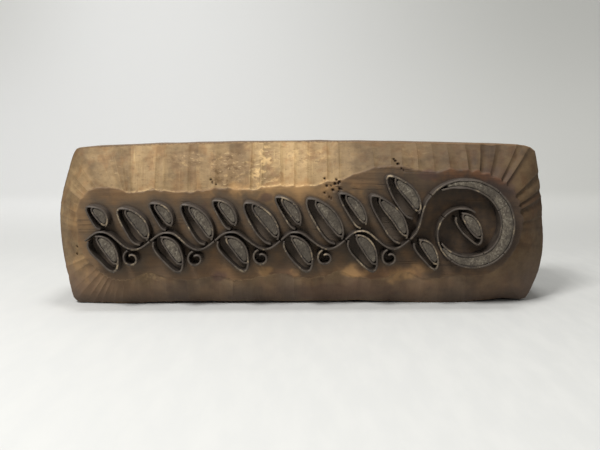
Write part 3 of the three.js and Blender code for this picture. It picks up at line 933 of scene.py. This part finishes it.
def pared_colour(p, tone, patch):
    """The gouge cuts, each a little paler or darker than the next, and mottled with finer marks."""
    pale = p.calc("ADD", tone, p.scaled(patch, 0.7, -0.35))
    pale = p.scaled(p.attribute("facet"), 0.16, pale)
    colour = p.blend(p.ramp(-0.1, 1.1, pale), (98, 79, 55), (178, 149, 106))
    colour = p.blend(p.ramp(0.0, -0.7, pale), colour, (66, 48, 28))
    mottle = p.ramp(0.5, 0.64, p.streaked((1, 1, 0.6), 11, 4))
    colour = p.blend(p.times(mottle, 0.6), colour, (200, 198, 196), "MULTIPLY")
    blush = p.ramp(0.48, 0.64, p.streaked((1, 1, 0.5), 6, 3))
    colour = p.blend(p.times(blush, 0.6), colour, (238, 218, 202), "MULTIPLY")
    chatter = p.ramp(0.46, 0.62, p.streaked((0.5, 1, 1), 2.4, 4))
    return p.blend(p.times(chatter, 0.5), colour, (222, 218, 210), "MULTIPLY")


def add_grain(p, colour, fibre, band, paring):
    """Fibres, growth rings and specks along the grain, faint on the paring."""
    grain = p.scaled(paring, -0.7, 1.0)
    lines = p.scaled(p.ramp(0.3, 0.7, band), 0.3, p.times(p.ramp(0.3, 0.7, fibre), 0.5))
    lines = p.blend(lines, (140, 130, 118), (255, 252, 245))
    colour = p.blend(p.times(grain, 0.5), colour, lines, "MULTIPLY")
    colour = p.blend(p.times(growth_rings(p), grain, 0.22), colour, (150, 128, 104), "MULTIPLY")
    speck = p.ramp(0.6, 0.7, p.streaked((0.4, 1, 1), 0.7, 2))
    return p.blend(p.times(speck, 0.35), colour, (70, 52, 38))


def add_cuts(p, colour, streak, tone, paring):
    """Streaks along the gouge cuts, and painted shade with dirt in the grooves between them."""
    tint = p.scaled(streak, 1.6, -0.8)
    bright = p.times(paring, p.ramp(0.1, 0.8, tone))
    colour = p.blend(p.times(bright, p.ramp(0.1, 0.7, tint)), colour, (212, 180, 126))
    colour = p.blend(p.times(paring, p.ramp(0, -1, tint), 0.6), colour, (96, 72, 52))
    # Painted shade with some dirt in the grooves.
    return p.blend(p.times(p.attribute("groove_dirt_and_shade"), 0.7), colour, (58, 44, 28))


def add_torn_grain(p, colour, rag, torn):
    """Grain that the gouge bruised, which is dark, and that it tore, which is pale."""
    bruised, ragged = p.attribute("bruised"), p.attribute("ragged")
    colour = p.blend(p.times(bruised, 0.75), colour, (128, 103, 72))
    colour = p.blend(p.times(bruised, p.ramp(0.5, 0.6, rag), 0.85), colour, (96, 73, 46))
    colour = p.blend(p.times(bruised, p.ramp(0.44, 0.34, rag), 0.6), colour, (176, 146, 102))
    colour = p.blend(p.times(ragged, p.ramp(0.5, 0.38, rag), 0.7), colour, (206, 172, 120))
    colour = p.blend(p.times(ragged, p.ramp(0.54, 0.64, rag), 0.6), colour, (130, 100, 70))
    fleck = p.ramp(0.62, 0.72, p.streaked((0.3, 1, 1.2), 0.9, 2))
    return p.blend(p.times(torn, fleck, 0.45), colour, (222, 194, 146))


def add_wear(p, colour, ink, patch, paring):
    """Painted shade with some grime low down and along the foot, rubbed patches, and a painted highlight along
    the rim round the ground.
    """
    # Painted shade with some grime: darker towards the bottom, where the faces turn down away from the light.
    shade = p.blend(p.ramp(0.4, 0.62, p.noise(p.place, 22, 3)), (83, 69, 60), (107, 85, 67))
    colour = p.blend(p.times(p.attribute("low"), 0.75), colour, shade)
    # Painted shade along the lowest part of the paring, by the floor.
    foot = p.times(p.ramp(10, 1, p.part(p.place, 2)), paring)
    colour = p.blend(p.times(foot, 0.5), colour, (66, 57, 51))
    undyed = p.scaled(ink, -0.6, 0.9)
    rubbed = p.times(p.attribute("pale"), p.ramp(0.3, 0.55, patch), undyed)
    colour = p.blend(rubbed, colour, (170, 132, 86))
    # The painted highlight along the rim, the ridges and the arris.
    rim = p.times(p.attribute("rim"), p.ramp(0.4, 0.6, p.noise(p.place, 1.2, 3)))
    return p.blend(p.times(rim, 0.6), colour, (206, 176, 126))


def add_dye(p, colour, ink, crack):
    """Stains, cracks, and the dye round the strips and between them, darker on the right and in the cells also
    painted shade; then painted contact shade by the strips, painted fill light on the floors of the cells, and
    painted shade in the worm holes.
    """
    colour = p.blend(p.attribute("stain"), colour, (66, 46, 44))
    dyed = p.times(ink, p.scaled(p.ramp(0.3, 0.7, p.noise(p.place, 4, 4)), 0.35, 0.5))
    dye = p.blend(p.ramp(0, 85, p.part(p.place, 0)), (80, 70, 58), (40, 34, 30))
    colour = p.blend(dyed, colour, dye)
    colour = p.blend(p.times(crack, 0.45), colour, (48, 37, 28))
    # Painted contact shade on the wood next to the strips.
    colour = p.blend(p.times(p.attribute("gap"), 0.5), colour, (50, 42, 37))
    # Painted fill light: the floors of the cells are lifted to a paler brown.
    colour = p.blend(p.times(p.attribute("cell"), 0.7), colour, (100, 88, 76))
    # Painted shade inside the worm holes.
    return p.blend(p.attribute("hole"), colour, (44, 26, 20))


def wood_material():
    """Close-grained wood with its grain along X: dyed brown on the ground, paler where the gouge pared it, with
    painted light and shade mixed into its colour.
    """
    p = Paint("aged_wood")
    paring, tone, ink = (p.attribute(name) for name in ("paring", "tone", "ink"))
    fibre = p.streaked((0.05, 1, 1), 0.8, 4)
    band = p.streaked((0.012, 0.6, 1), 3.2, 3)
    patch = p.noise(p.place, 7, 4)
    cut_place = p.joined(p.attribute("cut_across"), p.times(p.attribute("cut_along"), 0.06), 0.0)
    streak = p.noise(cut_place, 0.7, 3, 0.6)
    rag = p.streaked((0.6, 1, 0.8), 2.6, 4, 0.62)
    torn = p.calc("ADD", p.attribute("bruised"), p.attribute("ragged"))
    crack = cracks(p, paring)

    sawn = p.blend(p.ramp(0.35, 0.65, band), (90, 68, 46), (126, 97, 64))
    sawn = p.blend(p.attribute("end"), sawn, (88, 68, 50))
    colour = p.blend(paring, ground_colour(p, tone, patch), pared_colour(p, tone, patch))
    colour = p.blend(p.attribute("outer"), colour, sawn)
    colour = add_grain(p, colour, fibre, band, paring)
    colour = add_cuts(p, colour, streak, tone, paring)
    colour = add_torn_grain(p, colour, rag, torn)
    colour = add_wear(p, colour, ink, patch, paring)
    colour = add_dye(p, colour, ink, crack)
    p.put(p.shader.inputs["Base Color"], colour)
    matt = p.scaled(paring, 0.12, 0.42)
    p.put(p.shader.inputs["Roughness"], p.scaled(fibre, 0.25, matt))
    p.shader.inputs["Specular IOR Level"].default_value = 0.25

    height = p.calc("ADD", p.times(fibre, 0.35), p.times(p.noise(p.place, 1.5, 4), 0.3))
    height = p.calc("ADD", height, p.times(streak, paring, 0.8))
    height = p.calc("SUBTRACT", height, p.calc("ADD", p.times(torn, rag, 3), crack))
    p.relief(height, 0.12)
    return p.material


def copper_material():
    """Copper with a dark brown patina, rubbed pale along the printing edges, with painted glints in a few
    places.
    """
    p = Paint("patinated_copper")
    patch = p.noise(p.place, 3.5, 3)
    grime = p.noise(p.place, 0.9, 4, 0.65)
    colour = p.blend(p.ramp(0.35, 0.65, patch), (54, 46, 40), (72, 63, 54))
    colour = p.blend(p.times(p.ramp(0.5, 0.75, grime), 0.4), colour, (98, 88, 76))
    rise = p.attribute("rise")
    low = p.ramp(0.35, 0, p.calc("ADD", rise, p.scaled(patch, 0.3, -0.15)))
    colour = p.blend(p.times(low, 0.4), colour, (52, 45, 39))
    # Bare copper rubbed on the printing edges, brightened in a few spots as painted glints.
    rubbed = p.ramp(0.96, 0.995, p.calc("ADD", rise, p.scaled(grime, 0.06, -0.03)))
    bare_copper_and_glints = p.ramp(0.54, 0.72, p.calc("ADD", p.noise(p.place, 9, 3), p.scaled(grime, 0.4, -0.2)))
    colour = p.blend(p.times(rubbed, p.scaled(bare_copper_and_glints, 0.7, 0.02)), colour, (158, 140, 112))
    p.put(p.shader.inputs["Base Color"], colour)
    p.shader.inputs["Metallic"].default_value = 0.3
    p.put(p.shader.inputs["Roughness"], p.scaled(grime, 0.4, 0.4))
    p.relief(p.calc("ADD", grime, p.times(patch, 0.8)), 0.06)
    return p.material


def felt_material():
    """Dense grey wool felt, stiff and speckled with old dye, with painted shade along its edges by the strips.
    """
    p = Paint("stiff_felt")
    clump = p.noise(p.place, 2.4, 3)
    fibre = p.streaked((1, 1, 0.5), 0.5, 5, 0.7)
    colour = p.blend(p.ramp(0.35, 0.65, clump), (68, 60, 50), (94, 86, 73))
    colour = p.blend(p.times(p.ramp(0.52, 0.7, fibre), 0.6), colour, (136, 127, 111))
    colour = p.blend(p.times(p.ramp(0.5, 0.34, fibre), 0.7), colour, (58, 50, 43))
    fleck = p.ramp(0.54, 0.68, p.noise(p.place, 1.3, 3, 0.6))
    colour = p.blend(p.times(fleck, 0.5), colour, (146, 138, 122))
    colour = p.blend(p.times(p.ramp(0.42, 0.58, p.noise(p.place, 17, 2)), 0.7), colour, (58, 51, 42))
    # Painted shade along the felt's edges by the strips.
    colour = p.blend(p.times(p.attribute("edge"), 0.2), colour, (74, 65, 55))
    p.put(p.shader.inputs["Base Color"], colour)
    p.shader.inputs["Roughness"].default_value = 1.0
    p.shader.inputs["Sheen Weight"].default_value = 0.15
    p.relief(fibre, 0.25)
    return p.material


# The stage


def paper_material():
    """Matt white paper, faintly smeared, with painted light falloff in its colour: greyer on the right, in its
    upper corners and where it lies flat.
    """
    p = Paint("paper")
    along = p.ramp(-300, 500, p.part(p.place, 0))
    away = p.ramp(150, 650, p.part(p.place, 1))
    # Painted light falloff: the paper's grey changes with place as the light on it would.
    flat = p.blend(along, (201, 201, 198), (183, 183, 179))
    wall = p.blend(along, (247, 247, 245), (225, 225, 220))
    high = p.blend(along, (252, 252, 250), (208, 208, 203))
    high = p.blend(p.ramp(-330, -640, p.part(p.place, 0)), high, (232, 232, 228))
    wall = p.blend(p.ramp(20, 340, p.part(p.place, 2)), wall, high)
    smear = p.streaked((1, 0.25, 1), 9, 4)
    colour = p.blend(away, flat, wall)
    smear = p.times(p.ramp(0.35, 0.7, smear), p.ramp(300, 50, p.part(p.place, 1)), 0.25)
    colour = p.blend(smear, colour, (208, 207, 202))
    p.put(p.shader.inputs["Base Color"], colour)
    p.shader.inputs["Roughness"].default_value = 0.9
    return p.material


def make_backdrop():
    """A pale floor that sweeps up into a wall behind the block."""
    near, bend, radius, top, half_width = -1500, 700, 500, 2200, 2500
    arc = [(bend + radius * math.sin(a), radius * (1 - math.cos(a))) for a in np.linspace(0, math.pi / 2, 16)]
    profile = [(near, 0), (0, 0), *arc, (bend + radius, top)]
    points = [(x, y, z) for y, z in profile for x in (-half_width, half_width)]
    faces = [(2 * i, 2 * i + 1, 2 * i + 3, 2 * i + 2) for i in range(len(profile) - 1)]
    mesh = bpy.data.meshes.new("backdrop")
    mesh.from_pydata((np.array(points) * MM).tolist(), [], faces)
    mesh.polygons.foreach_set("use_smooth", [True] * len(faces))
    mesh.materials.append(paper_material())
    backdrop = add_object("backdrop", mesh)


def make_lamp(name, place, size, power, target=(0, 0, 40)):
    """A square lamp at a place, turned towards its target."""
    lamp = bpy.data.lights.new(name, "AREA")
    lamp.size = size * MM
    lamp.energy = power
    holder = add_object(name, lamp)
    holder.location = Vector(place) * MM
    holder.rotation_euler = (Vector(target) - Vector(place)).to_track_quat("-Z", "Y").to_euler()


SKY_LIGHT = 0.4
SKY_SEEN = 0.75  # of the same sky where the camera, or a reflection, looks past the backdrop


def make_light():
    """Two lamps and a plain white sky, which looks brighter than the light that it gives."""
    make_lamp("key", (-400, -620, 880), 300, 12.0)
    make_lamp("overhead", (40, -20, 900), 200, 2.6, target=(40, -20, 0))
    world = bpy.data.worlds.new("studio")
    world.use_nodes = True
    sky = world.node_tree.nodes["Background"]
    sky.inputs["Color"].default_value = (1, 1, 1, 1)
    rays = world.node_tree.nodes.new("ShaderNodeLightPath")
    seen = rays.outputs["Is Camera Ray"]
    for ray in ("Is Glossy Ray", "Is Transmission Ray"):
        either = world.node_tree.nodes.new("ShaderNodeMath")
        either.operation = "MAXIMUM"
        world.node_tree.links.new(seen, either.inputs[0])
        world.node_tree.links.new(rays.outputs[ray], either.inputs[1])
        seen = either.outputs[0]
    strength = world.node_tree.nodes.new("ShaderNodeMapRange")
    strength.inputs["To Min"].default_value = SKY_LIGHT
    strength.inputs["To Max"].default_value = SKY_SEEN
    world.node_tree.links.new(seen, strength.inputs["Value"])
    world.node_tree.links.new(strength.outputs["Result"], sky.inputs["Strength"])
    bpy.context.scene.world = world


def make_camera():
    """The camera, at the photograph's viewing angle."""
    camera = bpy.data.cameras.new("camera")
    camera.lens = CAMERA_LENS
    camera.clip_start = 0.01
    holder = add_object("camera", camera)
    holder.location = Vector(CAMERA_PLACE) * MM
    holder.rotation_euler = Euler([math.radians(a) for a in (90 + CAMERA_TILT, CAMERA_ROLL, CAMERA_TURN)])
    bpy.context.scene.camera = holder


def make_ornament(outlines, slots, ground):
    """The strips and the felts, each from the outlines of its solid."""
    copper, felt = copper_material(), felt_material()
    for name, loops in outlines.items():
        if slots[name] == "copper":
            make_strip(name, loops, copper, ground)
        else:
            make_felt(name, loops, felt, ground)


bpy.context.scene.view_settings.view_transform = "Standard"
make_camera()
make_light()
make_backdrop()

outlines = {name: front_outlines(name) for name in sorted(frame["nodes"]) if name != "wood_block"}
slots = {row["node"]: row["material_slot"] for row in frame["record"]["subparts"]}
make_ornament(outlines, slots, node_points("wood_block")[:, 1].min())

strips = {name: loops for name, loops in outlines.items() if slots[name] == "copper"}
strip_marks = [smoothed(loop, 0.6) for loops in strips.values() for loop in loops]
cell_names = [name for name in strips if "leaf" in name or "bud" in name or "curl" in name]
cells = [np.vstack(strips[name]) for name in cell_names]
scroll = [np.vstack([loop for name in strips if "scroll_strip" in name for loop in strips[name]])]
make_block(wood_material(), strip_marks, cells, scroll)
